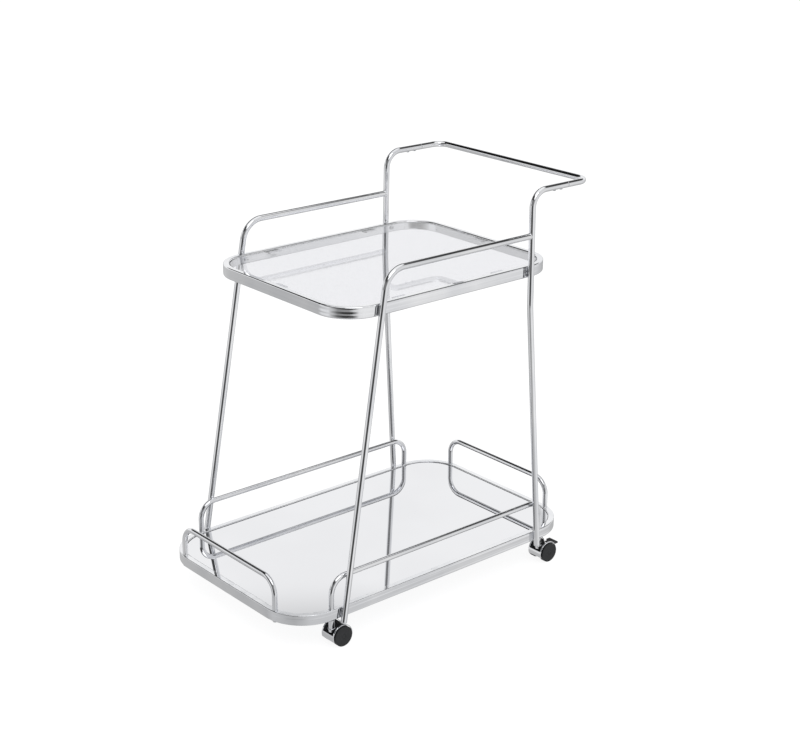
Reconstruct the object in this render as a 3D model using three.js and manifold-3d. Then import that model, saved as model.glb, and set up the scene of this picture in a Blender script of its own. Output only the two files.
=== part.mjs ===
// Chrome bar cart on four swivel casters.
// Millimetres, +Z up, +X towards the push handle, floor at z = 0.
import * as THREE from 'three';
import { mergeVertices } from 'three/addons/utils/BufferGeometryUtils.js';
import Module from 'manifold-3d';

const wasm = await Module();
wasm.setup();

// ---- driving dimensions -------------------------------------------------

const gap = 0.3;                   // air between two pieces that touch
const floorToBand = 55.5;          // caster height: floor to underside of the lower band

const tube = { diameter: 12.7, sides: 12 };
const railTube = { diameter: 11, sides: 12 };

const lowerTray = {
  length: 760, width: 458, cornerRadius: 93, bandHeight: 22, rimWidth: 13, edge: 1.2,
  panelThickness: 5, panelRecess: 2,
};
const upperTray = {
  length: 564, width: 438, cornerRadius: 78, bandHeight: 24, rimWidth: 13, edge: 1.2,
  panelThickness: 5, panelRecess: 2,
  topAboveLower: 596,              // upper rim above lower rim
  centreX: 412.4,                  // its centre, from the front end of the lower tray
};
const panelClearance = 0.8;        // all round, between a panel and its band
const tab = {
  reach: 14, width: 30, thickness: 3,
  alongSide: [0.17, 0.83],         // on the long sides, as shares of the way from front to rear leg bolt
};

const frontLeg = { footX: 114.5, railX: 229.5, bend: 46 };   // from the front end of the lower tray
const rearLeg = { footX: 646, uprightX: 607, kinkHeight: 590, kinkRadius: 160 };
const legFootHeight = 48.5;
const sideRailAboveRim = 64;       // side rail centre line above the upper rim
const handle = {
  aboveRail: 90.4, reach: 157.5, bend: 35, corner: 25, spigotDiameter: 9.6, spigotLength: 46,
  jointAt: 96,                     // joint line, measured from the upright's centre line
  screwAt: [60, 79],               // the two screws under each arm, from the same line
};
const socketClearance = 0.4;       // radial, spigot in its tube

const gallery = {
  height: 64, bend: 34, inset: 7, endPostY: 155,
  sidePostInset: 95,               // the side rails' posts, from each end of the tray
};

const trayBolt = { belowRim: 14.5, diameter: 5, head: 9.5, headHeight: 3, intoTube: 8, clearance: 0.35 };
const armScrew = { diameter: 3.6, head: 6.6, headHeight: 1.8, clearance: 0.3 };
const railScrew = { diameter: 5, head: 10, headHeight: 3.2, intoPost: 14, clearance: 0.35 };
const legPlug = { flange: 1.5, spigot: 9, depth: 12, clearance: 0.4 };

const caster = {
  wheelDiameter: 42, wheelWidth: 9.8, trackOuter: 43, trail: 14, bore: 5.6, boreDepth: 7.6,
  axleDiameter: 5, stemDiameter: 8, stemAboveBand: 12, stemClearance: 0.35,
  neckDiameter: 12, neckTop: 54, webHalf: 8.4,
  hoodInner: 22.6, hoodOuter: 24, hoodWidth: 37, ringWidth: 3,
  hoodBelow: 18, openStemSide: 14, openFarSide: 20, openBraked: 6,
};
const brake = { width: 25, reach: 34.5, pivotOut: 17, height: 11, thickness: 3.4, armWidth: 14 };

// ---- places worked out from them -----------------------------------------

const bandBottom = floorToBand;
const lowerTop = bandBottom + lowerTray.bandHeight;
const upperTop = lowerTop + upperTray.topAboveLower;
const railHeight = upperTop + sideRailAboveRim;
const handleHeight = railHeight + handle.aboveRail;
const handleX = rearLeg.uprightX + handle.reach;              // crossbar centre line, from the tray's front
const overallLength = Math.max(handleX + tube.diameter / 2, lowerTray.length);
const frontX = -overallLength / 2;                            // the front end of the lower tray
const lowerCentreX = frontX + lowerTray.length / 2;
const upperCentreX = frontX + upperTray.centreX;
const bandToTube = tube.diameter / 2 + gap;                   // band face to tube centre line
const sidePostX = lowerTray.length / 2 - gallery.sidePostInset;
const lowerBoltZ = lowerTop - trayBolt.belowRim;              // where the legs are bolted to each band
const upperBoltZ = upperTop - trayBolt.belowRim;

// The side frames lean: they touch the top edges of the wide lower band and the narrower upper one.
function sideY(z) {
  const low = lowerTray.width / 2 + bandToTube;
  const high = upperTray.width / 2 + bandToTube;
  return low + (high - low) * (z - lowerTop) / (upperTop - lowerTop);
}

function frontLegX(z) {
  const lean = (frontLeg.railX - frontLeg.footX) / (railHeight - legFootHeight);
  return frontX + frontLeg.footX + lean * (z - legFootHeight);
}

function rearLegX(z) {
  if (z >= rearLeg.kinkHeight) return frontX + rearLeg.uprightX;
  const lean = (rearLeg.uprightX - rearLeg.footX) / (rearLeg.kinkHeight - legFootHeight);
  return frontX + rearLeg.footX + lean * (z - legFootHeight);
}

// ---- materials ------------------------------------------------------------

const materials = {
  chrome: new THREE.MeshStandardMaterial({ color: 0xd8dade, roughness: 0.06, metalness: 1 }),
  fastener: new THREE.MeshStandardMaterial({ color: 0xb9bcc0, roughness: 0.25, metalness: 1 }),
  glass: new THREE.MeshStandardMaterial({
    color: 0xe9eaee, roughness: 0.03, metalness: 0, transparent: true, opacity: 0.35,
  }),
  mirror: new THREE.MeshStandardMaterial({ color: 0xedeff2, roughness: 0.02, metalness: 1 }),
  wheel: new THREE.MeshStandardMaterial({ color: 0x2a2c2e, roughness: 0.55, metalness: 0 }),
  blackPlastic: new THREE.MeshStandardMaterial({ color: 0x1b1c1e, roughness: 0.42, metalness: 0 }),
  greyPlastic: new THREE.MeshStandardMaterial({ color: 0xc4c6c9, roughness: 0.5, metalness: 0 }),
};

const cart = new THREE.Group();

function place(name, geometry, material, parent = cart) {
  const mesh = new THREE.Mesh(geometry, material);
  mesh.name = name;
  parent.add(mesh);
  return mesh;
}

// ---- solids: joins and cuts -------------------------------------------------

function toSolid(geometry) {
  const plain = geometry.index ? geometry.toNonIndexed() : geometry.clone();
  plain.deleteAttribute('normal');
  plain.deleteAttribute('uv');
  const merged = mergeVertices(plain, 1e-4);
  return new wasm.Manifold(new wasm.Mesh({
    numProp: 3,
    vertProperties: new Float32Array(merged.attributes.position.array),
    triVerts: new Uint32Array(merged.index.array),
  }));
}

function toGeometry(solid) {
  const mesh = solid.getMesh();
  const geometry = new THREE.BufferGeometry();
  geometry.setAttribute('position', new THREE.BufferAttribute(new Float32Array(mesh.vertProperties), 3));
  geometry.setIndex(new THREE.BufferAttribute(new Uint32Array(mesh.triVerts), 1));
  geometry.computeVertexNormals();
  return geometry;
}

function cut(geometry, ...tools) {
  let solid = toSolid(geometry);
  for (const tool of tools) solid = solid.subtract(toSolid(tool));
  return toGeometry(solid);
}

function join(geometry, ...others) {
  let solid = toSolid(geometry);
  for (const other of others) solid = solid.add(toSolid(other));
  return toGeometry(solid);
}

// ---- shapes -----------------------------------------------------------------

function turnUpTo(direction) {
  return new THREE.Quaternion().setFromUnitVectors(new THREE.Vector3(0, 1, 0), direction.clone().normalize());
}

// A cylinder from one point to another.
function rod(from, to, diameter, sides = 12) {
  const axis = to.clone().sub(from);
  const geometry = new THREE.CylinderGeometry(diameter / 2, diameter / 2, axis.length(), sides);
  geometry.applyQuaternion(turnUpTo(axis));
  const middle = from.clone().add(to).multiplyScalar(0.5);
  return geometry.translate(middle.x, middle.y, middle.z);
}

// A stack of discs on one axis: [radius, height] pairs from the bottom up.
function turned(profile, from, direction, sides = 8) {
  const points = profile.map(([radius, height]) => new THREE.Vector2(radius, height));
  const geometry = new THREE.LatheGeometry(points, sides);
  return geometry.applyQuaternion(turnUpTo(direction)).translate(from.x, from.y, from.z);
}

function block(sizeX, sizeY, sizeZ, x, y, z) {
  return new THREE.BoxGeometry(sizeX, sizeY, sizeZ).translate(x, y, z);
}

// A curve that is sampled at its own stations: the ends of straights and steps round each bend.
class BentLine extends THREE.Curve {
  constructor(corners, radii, stepAngle = 18) {
    super();
    this.stations = [];
    const last = corners.length - 1;
    const heading = (i) => corners[i + 1].clone().sub(corners[i]).normalize();
    this.stations.push({ point: corners[0], tangent: heading(0) });
    for (let i = 1; i < last; i += 1) {
      this.addBend(corners[i], heading(i - 1), heading(i), radii[i - 1], stepAngle);
    }
    this.stations.push({ point: corners[last], tangent: heading(last - 1) });
    this.steps = this.stations.length - 1;
  }

  addBend(corner, before, after, radius, stepAngle) {
    const turn = before.angleTo(after);
    const back = radius * Math.tan(turn / 2);
    const start = corner.clone().addScaledVector(before, -back);
    const inward = after.clone().addScaledVector(before, -after.dot(before)).normalize();
    const centre = start.clone().addScaledVector(inward, radius);
    const steps = Math.max(1, Math.round(THREE.MathUtils.radToDeg(turn) / stepAngle));
    for (let k = 0; k <= steps; k += 1) {
      const angle = turn * k / steps;
      const point = centre.clone()
        .addScaledVector(inward, -radius * Math.cos(angle))
        .addScaledVector(before, radius * Math.sin(angle));
      const tangent = before.clone().multiplyScalar(Math.cos(angle)).addScaledVector(inward, Math.sin(angle));
      this.stations.push({ point, tangent });
    }
  }

  getPointAt(u, target = new THREE.Vector3()) {
    return target.copy(this.stations[Math.round(u * this.steps)].point);
  }

  getPoint(u, target) {
    return this.getPointAt(u, target);
  }

  getTangentAt(u, target = new THREE.Vector3()) {
    return target.copy(this.stations[Math.round(u * this.steps)].tangent);
  }
}

function roundSection(diameter, sides) {
  const section = new THREE.Shape();
  for (let k = 0; k < sides; k += 1) {
    const angle = 2 * Math.PI * k / sides;
    const x = diameter / 2 * Math.cos(angle);
    const y = diameter / 2 * Math.sin(angle);
    if (k === 0) section.moveTo(x, y); else section.lineTo(x, y);
  }
  section.closePath();
  return section;
}

function bentTube(line, spec) {
  return new THREE.ExtrudeGeometry(roundSection(spec.diameter, spec.sides), {
    steps: line.steps, extrudePath: line, bevelEnabled: false,
  });
}

function roundedOutline(Kind, length, width, radius) {
  const outline = new Kind();
  const x = length / 2 - radius;
  const y = width / 2 - radius;
  outline.absarc(x, y, radius, 0, Math.PI / 2, false);
  outline.absarc(-x, y, radius, Math.PI / 2, Math.PI, false);
  outline.absarc(-x, -y, radius, Math.PI, 1.5 * Math.PI, false);
  outline.absarc(x, -y, radius, 1.5 * Math.PI, 2 * Math.PI, false);
  outline.closePath();
  return outline;
}

// ---- trays --------------------------------------------------------------------

// The band: a ring of upright bar with softened edges, and the tabs that carry its panel.
function trayBand(tray, centreX, topZ, boltPlaces, otherHoles) {
  const outline = roundedOutline(THREE.Shape, tray.length, tray.width, tray.cornerRadius);
  const inner = 2 * tray.rimWidth;
  outline.holes.push(roundedOutline(THREE.Path, tray.length - inner, tray.width - inner,
    tray.cornerRadius - tray.rimWidth));
  const ring = new THREE.ExtrudeGeometry(outline, {
    depth: tray.bandHeight - 2 * tray.edge, curveSegments: 5, bevelEnabled: true,
    bevelThickness: tray.edge, bevelSize: tray.edge, bevelOffset: -tray.edge, bevelSegments: 1,
  });
  ring.translate(centreX, 0, topZ - tray.bandHeight + tray.edge);
  const tabZ = topZ - tray.panelRecess - tray.panelThickness - gap - tab.thickness / 2;
  const root = 2;                                             // how far a tab runs into the bar
  const reach = tab.reach + root;
  const tabs = [];
  for (const side of [-1, 1]) {
    const y = side * (tray.width / 2 - tray.rimWidth + root - reach / 2);
    for (const share of tab.alongSide) {
      const x = THREE.MathUtils.lerp(frontLegX(boltPlaces[0].z), rearLegX(boltPlaces[0].z), share);
      tabs.push(block(tab.width, reach, tab.thickness, x, y, tabZ));
    }
    const x = side * (tray.length / 2 - tray.rimWidth + root - reach / 2);
    tabs.push(block(reach, tab.width, tab.thickness, centreX + x, 0, tabZ));
  }
  const holes = boltPlaces.map(({ x, z, side }) => rod(
    new THREE.Vector3(x, side * (tray.width / 2 + 1), z),
    new THREE.Vector3(x, side * (tray.width / 2 - tray.rimWidth - 1), z),
    trayBolt.diameter + 2 * trayBolt.clearance, 8));
  return cut(join(ring, ...tabs), ...holes, ...otherHoles);
}

function trayPanel(tray, centreX, topZ) {
  const inset = 2 * (tray.rimWidth + panelClearance);
  const outline = roundedOutline(THREE.Shape, tray.length - inset, tray.width - inset,
    tray.cornerRadius - inset / 2);
  const panel = new THREE.ExtrudeGeometry(outline, {
    depth: tray.panelThickness, curveSegments: 5, bevelEnabled: false,
  });
  return panel.translate(centreX, 0, topZ - tray.panelRecess - tray.panelThickness);
}

// ---- side frames -----------------------------------------------------------------

function framePoint(x, z, side) {
  return new THREE.Vector3(x, side * sideY(z), z);
}

function boltHole(x, z, side) {
  const face = side * (sideY(z) - bandToTube);
  const end = face + side * (gap + trayBolt.intoTube);
  return rod(new THREE.Vector3(x, face - side, z), new THREE.Vector3(x, end, z),
    trayBolt.diameter + 2 * trayBolt.clearance, 8);
}

// The blind bore in a leg's foot, for its plug.
function footBore(foot, upwards) {
  const from = foot.clone().addScaledVector(upwards, -1);
  const to = foot.clone().addScaledVector(upwards, legPlug.depth + 1);
  return rod(from, to, legPlug.spigot + 2 * legPlug.clearance);
}

function frontLegAndRail(side) {
  const foot = framePoint(frontLegX(legFootHeight), legFootHeight, side);
  const top = framePoint(frontLegX(railHeight), railHeight, side);
  const butt = framePoint(rearLegX(railHeight) - tube.diameter / 2 - gap, railHeight, side);
  const line = new BentLine([foot, top, butt], [frontLeg.bend]);
  return cut(bentTube(line, tube),
    boltHole(frontLegX(lowerBoltZ), lowerBoltZ, side), boltHole(frontLegX(upperBoltZ), upperBoltZ, side),
    footBore(foot, line.stations[0].tangent));
}

function armScrewHole(x, y, upTo) {
  const bottom = handleHeight - tube.diameter / 2 - 1;
  return rod(new THREE.Vector3(x, y, bottom), new THREE.Vector3(x, y, upTo),
    armScrew.diameter + 2 * armScrew.clearance, 8);
}

function rearLegTube(side) {
  const foot = framePoint(rearLegX(legFootHeight), legFootHeight, side);
  const kink = framePoint(rearLegX(rearLeg.kinkHeight), rearLeg.kinkHeight, side);
  const top = framePoint(rearLegX(handleHeight), handleHeight, side);
  const end = top.clone();
  end.x += handle.jointAt;
  const line = new BentLine([foot, kink, top, end], [rearLeg.kinkRadius, handle.bend]);
  const socket = rod(new THREE.Vector3(end.x - handle.spigotLength - 1, end.y, end.z),
    new THREE.Vector3(end.x + 1, end.y, end.z), handle.spigotDiameter + 2 * socketClearance);
  const screws = handle.screwAt.map((x) => armScrewHole(top.x + x, top.y, handleHeight));
  return cut(bentTube(line, tube), socket, ...screws,
    boltHole(rearLegX(lowerBoltZ), lowerBoltZ, side), boltHole(rearLegX(upperBoltZ), upperBoltZ, side),
    footBore(foot, line.stations[0].tangent));
}

// The U of the handle, with a reduced spigot on each arm that enters the upright's stub.
function pushHandle() {
  const uprightX = rearLegX(handleHeight);
  const start = uprightX + handle.jointAt + gap;
  const y = sideY(handleHeight);
  const barX = frontX + handleX;
  const corners = [[start, -y], [barX, -y], [barX, y], [start, y]]
    .map(([px, py]) => new THREE.Vector3(px, py, handleHeight));
  const bar = bentTube(new BentLine(corners, [handle.corner, handle.corner]), tube);
  const spigots = [-y, y].map((py) => rod(new THREE.Vector3(start + 1, py, handleHeight),
    new THREE.Vector3(start - gap - handle.spigotLength, py, handleHeight), handle.spigotDiameter));
  const holes = [-y, y].flatMap((py) => handle.screwAt.map(
    (x) => armScrewHole(uprightX + x, py, handleHeight)));
  return cut(join(bar, ...spigots), ...holes);
}

// ---- gallery rails ------------------------------------------------------------------

// The line on the lower rim that the posts stand on: its X for a post at a given Y.
function postLineX(y) {
  const radius = lowerTray.cornerRadius - gallery.inset;
  const straight = lowerTray.width / 2 - lowerTray.cornerRadius;
  const aside = Math.max(0, Math.abs(y) - straight);
  return lowerTray.length / 2 - lowerTray.cornerRadius + Math.sqrt(radius ** 2 - aside ** 2);
}

const postLineY = lowerTray.width / 2 - gallery.inset;

function galleryRail(from, to, boreDiameter, boreDepth) {
  const base = lowerTop + gap;
  const top = lowerTop + gallery.height;
  const corners = [[from, base], [from, top], [to, top], [to, base]]
    .map(([place, z]) => new THREE.Vector3(place[0], place[1], z));
  const rail = bentTube(new BentLine(corners, [gallery.bend, gallery.bend]), railTube);
  const bores = [from, to].map(([x, y]) => rod(new THREE.Vector3(x, y, base - 1),
    new THREE.Vector3(x, y, lowerTop + boreDepth), boreDiameter));
  return cut(rail, ...bores);
}

// ---- casters -----------------------------------------------------------------------------

// The region between two radii about the axle, from one angle to another, extruded across.
function sector(inner, outer, fromDegrees, toDegrees, width) {
  const from = THREE.MathUtils.degToRad(fromDegrees);
  const to = THREE.MathUtils.degToRad(toDegrees);
  const shape = new THREE.Shape();
  shape.absarc(0, 0, outer, from, to, false);
  shape.absarc(0, 0, inner, to, from, true);
  shape.closePath();
  const geometry = new THREE.ExtrudeGeometry(shape, { depth: width, curveSegments: 9, bevelEnabled: false });
  return geometry.translate(0, 0, -width / 2).rotateX(Math.PI / 2);
}

// Angles run from the far side (away from the stem), over the top, to the stem side.
function casterHood(openFrom) {
  const shell = sector(caster.hoodInner, caster.hoodOuter, -caster.hoodBelow, 180 + caster.hoodBelow,
    caster.hoodWidth);
  const opening = sector(caster.hoodInner - 3, caster.hoodOuter + 3, openFrom, 180 - caster.openStemSide,
    caster.hoodWidth - 2 * caster.ringWidth);
  return cut(shell, opening);
}

// The plastic core between the wheels: hub, foot of the neck and the neck itself, bored for axle and stem.
function casterCore(axle) {
  const hubRadius = 8;
  const neck = caster.neckDiameter / 2;
  const shape = new THREE.Shape();
  shape.absarc(0, 0, hubRadius, -0.5 * Math.PI, 0.1 * Math.PI, false);
  shape.lineTo(-caster.trail + neck, 14);
  shape.lineTo(-caster.trail - neck, 14);
  shape.lineTo(-caster.trail - neck, 2);
  shape.closePath();
  const web = new THREE.ExtrudeGeometry(shape, {
    depth: 2 * caster.webHalf, curveSegments: 6, bevelEnabled: false,
  });
  web.translate(0, 0, -caster.webHalf).rotateX(Math.PI / 2);
  const stemAxis = (z) => new THREE.Vector3(-caster.trail, 0, z);
  const column = rod(stemAxis(12), stemAxis(caster.neckTop - axle), caster.neckDiameter, 12);
  const boreEnd = new THREE.Vector3(0, caster.webHalf + 1, 0);
  const axleBore = rod(boreEnd.clone().negate(), boreEnd, caster.axleDiameter + 2 * gap, 8);
  const stemBore = rod(stemAxis(8), stemAxis(caster.neckTop - axle + 1), caster.stemDiameter + 2 * gap, 12);
  return cut(join(web, column), axleBore, stemBore);
}

function casterWheel() {
  const radius = caster.wheelDiameter / 2;
  const width = caster.wheelWidth;
  const round = 1.6;
  const bore = caster.bore / 2;
  const profile = [[0, 0], [radius - round, 0], [radius, round], [radius, width - round],
    [radius - round, width], [bore, width], [bore, width - caster.boreDepth], [0, width - caster.boreDepth]];
  return turned(profile, new THREE.Vector3(0, -caster.trackOuter / 2, 0), new THREE.Vector3(0, 1, 0), 20);
}

// The pedal: a wide tread outside the hood on a narrow arm that pivots above the core.
function brakePedal() {
  const half = brake.thickness / 2;
  const shoulder = caster.hoodOuter + 0.6;
  const tread = block(brake.reach - shoulder, brake.width, brake.thickness, (brake.reach + shoulder) / 2, 0,
    brake.height);
  const arm = block(shoulder + 1 - brake.pivotOut, brake.armWidth, brake.thickness,
    (shoulder + 1 + brake.pivotOut) / 2, 0, brake.height);
  const barrel = rod(new THREE.Vector3(brake.pivotOut, -brake.armWidth / 2, brake.height),
    new THREE.Vector3(brake.pivotOut, brake.armWidth / 2, brake.height), 2 * half + 1, 10);
  return join(tread, arm, barrel);
}

function addCaster(label, stemX, stemY, braked) {
  const axle = caster.wheelDiameter / 2;
  const group = new THREE.Group();
  group.position.set(stemX + caster.trail, stemY, axle);
  cart.add(group);
  const openFrom = braked ? caster.openBraked : caster.openFarSide;
  place(`${label}_hood`, casterHood(openFrom), materials.chrome, group);
  place(`${label}_core`, casterCore(axle), materials.blackPlastic, group);
  const stemFrom = new THREE.Vector3(-caster.trail, 0, 8 + gap);
  const stemTo = new THREE.Vector3(-caster.trail, 0, lowerTop + caster.stemAboveBand - axle);
  place(`${label}_stem`, rod(stemFrom, stemTo, caster.stemDiameter), materials.fastener, group);
  const axleEnd = caster.trackOuter / 2 - caster.wheelWidth + caster.boreDepth - gap;
  place(`${label}_axle`, rod(new THREE.Vector3(0, -axleEnd, 0), new THREE.Vector3(0, axleEnd, 0),
    caster.axleDiameter, 8), materials.fastener, group);
  place(`${label}_wheel_outer`, casterWheel(), materials.wheel, group)
    .rotation.z = stemY < 0 ? 0 : Math.PI;
  place(`${label}_wheel_inner`, casterWheel(), materials.wheel, group)
    .rotation.z = stemY < 0 ? Math.PI : 0;
  if (braked) place(`${label}_brake_pedal`, brakePedal(), materials.blackPlastic, group);
}

// ---- assembly --------------------------------------------------------------------------------

const sides = [['near', -1], ['far', 1]];
const ends = [['front', -1], ['rear', 1]];

const legCrossings = (z) => sides.flatMap(([, side]) => [
  { x: frontLegX(z), z, side }, { x: rearLegX(z), z, side },
]);

const stemPlaces = ends.flatMap(([end, sx]) => sides.map(([name, sy]) => ({
  label: `${end}_${name}_caster`, x: lowerCentreX + sx * sidePostX, y: sy * postLineY, braked: sx > 0,
})));
const screwPlaces = ends.flatMap(([end, sx]) => sides.map(([name, sy]) => ({
  label: `${end}_${name}_rail_screw`, x: lowerCentreX + sx * postLineX(gallery.endPostY),
  y: sy * gallery.endPostY,
})));

const throughBand = (x, y, diameter) => rod(new THREE.Vector3(x, y, bandBottom - 1),
  new THREE.Vector3(x, y, lowerTop + 1), diameter, 12);
const stemHole = caster.stemDiameter + 2 * caster.stemClearance;
const railScrewHole = railScrew.diameter + 2 * railScrew.clearance;

place('lower_band', trayBand(lowerTray, lowerCentreX, lowerTop, legCrossings(lowerBoltZ), [
  ...stemPlaces.map(({ x, y }) => throughBand(x, y, stemHole)),
  ...screwPlaces.map(({ x, y }) => throughBand(x, y, railScrewHole)),
]), materials.chrome);
place('upper_band', trayBand(upperTray, upperCentreX, upperTop, legCrossings(upperBoltZ), []),
  materials.chrome);
place('mirror_shelf', trayPanel(lowerTray, lowerCentreX, lowerTop), materials.mirror);
place('glass_shelf', trayPanel(upperTray, upperCentreX, upperTop), materials.glass);

for (const [name, side] of sides) {
  place(`front_leg_${name}`, frontLegAndRail(side), materials.chrome);
  place(`rear_leg_${name}`, rearLegTube(side), materials.chrome);
  for (const [level, z, tray] of [['lower', lowerBoltZ, lowerTray], ['upper', upperBoltZ, upperTray]]) {
    for (const [leg, x] of [['front', frontLegX(z)], ['rear', rearLegX(z)]]) {
      const innerFace = tray.width / 2 - tray.rimWidth - gap;
      const length = tray.rimWidth + 2 * gap + trayBolt.intoTube - 1;
      const profile = [[0, 0], [trayBolt.head / 2, 0], [trayBolt.head / 2, trayBolt.headHeight],
        [trayBolt.diameter / 2, trayBolt.headHeight], [trayBolt.diameter / 2, trayBolt.headHeight + length],
        [0, trayBolt.headHeight + length]];
      const start = new THREE.Vector3(x, side * (innerFace - trayBolt.headHeight), z);
      place(`${level}_${leg}_bolt_${name}`, turned(profile, start, new THREE.Vector3(0, side, 0)),
        materials.fastener);
    }
  }
  for (const [leg, legX] of [['front', frontLegX], ['rear', rearLegX]]) {
    const foot = framePoint(legX(legFootHeight), legFootHeight, side);
    const upwards = framePoint(legX(legFootHeight + 1), legFootHeight + 1, side).sub(foot).normalize();
    const from = foot.clone().addScaledVector(upwards, -gap - legPlug.flange);
    const full = legPlug.flange + legPlug.depth;
    const flangeRadius = tube.diameter / 2;
    const profile = [[0, 0], [flangeRadius - 0.6, 0], [flangeRadius, 0.6], [flangeRadius, legPlug.flange],
      [legPlug.spigot / 2, legPlug.flange], [legPlug.spigot / 2, full], [0, full]];
    place(`${leg}_leg_plug_${name}`, turned(profile, from, upwards, 12), materials.greyPlastic);
  }
  handle.screwAt.forEach((x, index) => {
    const bottom = handleHeight - tube.diameter / 2 - armScrew.headHeight;
    const shank = armScrew.headHeight + tube.diameter / 2 - gap;
    const profile = [[0, 0], [armScrew.head / 2 - 0.8, 0], [armScrew.head / 2, armScrew.headHeight * 0.6],
      [armScrew.head / 2, armScrew.headHeight - gap], [armScrew.diameter / 2, armScrew.headHeight - gap],
      [armScrew.diameter / 2, shank], [0, shank]];
    const from = new THREE.Vector3(rearLegX(handleHeight) + x, side * sideY(handleHeight), bottom);
    place(`handle_screw_${name}_${index + 1}`, turned(profile, from, new THREE.Vector3(0, 0, 1)),
      materials.fastener);
  });
  const y = side * postLineY;
  place(`gallery_rail_${name}`, galleryRail([lowerCentreX - sidePostX, y],
    [lowerCentreX + sidePostX, y], stemHole, caster.stemAboveBand + 1), materials.chrome);
}
place('push_handle', pushHandle(), materials.chrome);

for (const [name, sx] of ends) {
  const x = lowerCentreX + sx * postLineX(gallery.endPostY);
  place(`gallery_rail_${name}`, galleryRail([x, -gallery.endPostY], [x, gallery.endPostY], railScrewHole,
    railScrew.intoPost + 1), materials.chrome);
}
for (const { label, x, y } of screwPlaces) {
  const full = railScrew.headHeight + gap + lowerTray.bandHeight + railScrew.intoPost;
  const profile = [[0, 0], [railScrew.head / 2 - 1.2, 0], [railScrew.head / 2, 1.2],
    [railScrew.head / 2, railScrew.headHeight], [railScrew.diameter / 2, railScrew.headHeight],
    [railScrew.diameter / 2, full], [0, full]];
  const from = new THREE.Vector3(x, y, bandBottom - gap - railScrew.headHeight);
  place(label, turned(profile, from, new THREE.Vector3(0, 0, 1)), materials.fastener);
}

for (const { label, x, y, braked } of stemPlaces) addCaster(label, x, y, braked);

export default cart;
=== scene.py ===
import math
import bmesh
import bpy
from mathutils import Matrix, Vector


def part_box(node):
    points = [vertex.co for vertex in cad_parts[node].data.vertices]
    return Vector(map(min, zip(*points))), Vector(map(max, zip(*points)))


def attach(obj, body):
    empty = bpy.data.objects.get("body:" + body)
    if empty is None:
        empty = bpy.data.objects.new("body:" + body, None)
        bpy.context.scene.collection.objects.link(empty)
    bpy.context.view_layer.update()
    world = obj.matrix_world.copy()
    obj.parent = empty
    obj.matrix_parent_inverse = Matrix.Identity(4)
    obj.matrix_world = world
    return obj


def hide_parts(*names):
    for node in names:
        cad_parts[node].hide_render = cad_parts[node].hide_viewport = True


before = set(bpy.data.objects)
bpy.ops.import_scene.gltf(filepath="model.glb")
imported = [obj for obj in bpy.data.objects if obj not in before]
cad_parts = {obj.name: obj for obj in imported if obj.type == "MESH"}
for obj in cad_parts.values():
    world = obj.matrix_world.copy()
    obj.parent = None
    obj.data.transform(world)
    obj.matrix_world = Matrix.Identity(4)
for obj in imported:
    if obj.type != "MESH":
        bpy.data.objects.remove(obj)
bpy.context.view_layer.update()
print("frame loaded")

mm = 0.001
sides = {"near": -1, "far": 1}
ends = ("front", "rear")
cleared = 0.3 * mm                    # air between touching pieces, as in the CAD
onePoint = 1e-6                       # points nearer than this are one point
facingIt = 0.99                       # cosine above which a face counts as looking in a direction
origin = Vector((0, 0, 0))
lengthways = Vector((1, 0, 0))
across = Vector((0, 1, 0))
up = Vector((0, 0, 1))


# ---- picking, settling and finishing pieces

def deselect():
    bpy.ops.object.select_all(action="DESELECT")


def makeActive(piece):
    deselect()
    piece.select_set(True)
    bpy.context.view_layer.objects.active = piece


def openForEdit(piece):
    makeActive(piece)
    bpy.ops.object.mode_set(mode="EDIT")


def closeEdit():
    bpy.ops.object.mode_set(mode="OBJECT")


def pick(kind, test):
    # selects the vertices, edges or faces that pass the test, in edit mode
    mesh = bpy.context.object.data
    bpy.ops.mesh.select_mode(type=kind)
    bpy.ops.mesh.select_all(action="DESELECT")
    cage = bmesh.from_edit_mesh(mesh)
    for part in {"VERT": cage.verts, "EDGE": cage.edges, "FACE": cage.faces}[kind]:
        if test(part):
            part.select_set(True)
    cage.select_flush_mode()
    bmesh.update_edit_mesh(mesh)


def fix(piece):
    # moves the object's place into its mesh
    makeActive(piece)
    bpy.ops.object.transform_apply(location=True, rotation=True, scale=True)
    return piece


def applyAll(piece):
    makeActive(piece)
    for modifier in list(piece.modifiers):
        bpy.ops.object.modifier_apply(modifier=modifier.name)


def soften(piece, width, segments=3, angle=35):
    # rounds the sharp edges, keeps the flats flat and shades the rest smooth
    smooth(piece)
    bevel = piece.modifiers.new("soften", "BEVEL")
    bevel.width, bevel.segments = width, segments
    bevel.limit_method, bevel.angle_limit = "ANGLE", math.radians(angle)
    bevel.use_clamp_overlap = bevel.harden_normals = True
    applyAll(piece)


def smooth(piece, angle=32):
    makeActive(piece)
    bpy.ops.object.shade_smooth_by_angle(angle=math.radians(angle))


def combine(piece, tool, operation):
    # joins or cuts with another solid, which is used up
    boolean = piece.modifiers.new(operation.lower(), "BOOLEAN")
    boolean.operation, boolean.solver, boolean.object = operation, "EXACT", tool
    applyAll(piece)
    bpy.data.objects.remove(tool)


def twin(piece, name, place):
    # a copy with its own mesh, put in place by a matrix
    copied = piece.copy()
    copied.data = piece.data.copy()
    bpy.context.scene.collection.objects.link(copied)
    copied.name = name
    copied.data.transform(place)
    if place.determinant() < 0:
        copied.data.flip_normals()
    return copied


def gather(name, pieces):
    # one object from several that don't touch or are welded together
    deselect()
    for piece in pieces:
        piece.select_set(True)
    bpy.context.view_layer.objects.active = pieces[0]
    bpy.ops.object.join()
    pieces[0].name = name
    return pieces[0]


def finishPiece(piece, material, slot, body, *nodes):
    if material:
        piece.data.materials.clear()
        piece.data.materials.append(material)
    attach(piece, body)
    if nodes:
        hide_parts(*nodes)
    return piece


# ---- solids to start from

def turnTo(axis):
    # the rotation that brings +Z onto an axis
    return axis.to_track_quat("Z", "Y").to_euler()


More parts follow.
